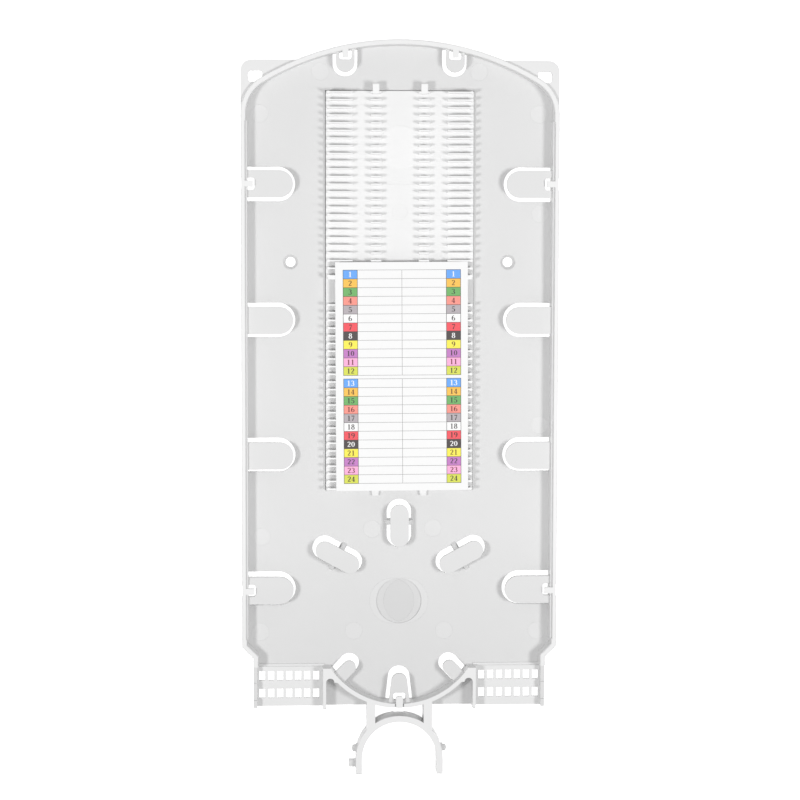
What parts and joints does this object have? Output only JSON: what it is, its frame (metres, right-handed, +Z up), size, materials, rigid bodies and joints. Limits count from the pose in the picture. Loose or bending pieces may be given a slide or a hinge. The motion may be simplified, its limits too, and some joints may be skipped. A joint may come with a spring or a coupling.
{
  "type": "fibre splice tray",
  "caption": "Flat fibre splice tray with a curved rim, hold-down tabs, a slotted comb insert, a label card and an open hinge clip.",
  "frame": {"origin": "middle of the underside, half-way along the whole length, on the face that it lies on", "axes": "+Y towards the arched end, away from the hinge clip; +Z up, out of the open side; +X to the right of the arched end"},
  "size_m": [0.1258, 0.2929, 0.0105],
  "materials": {
    "tray_plastic": "fine satin, off-white moulding",
    "comb_plastic": "satin, whiter moulding",
    "card": "smooth white card with printed colour fields"
  },
  "bodies": {
    "root": {"tray_body": "tray_plastic", "comb_insert": "comb_plastic", "label_card": "card"}
  },
  "joints": []
}
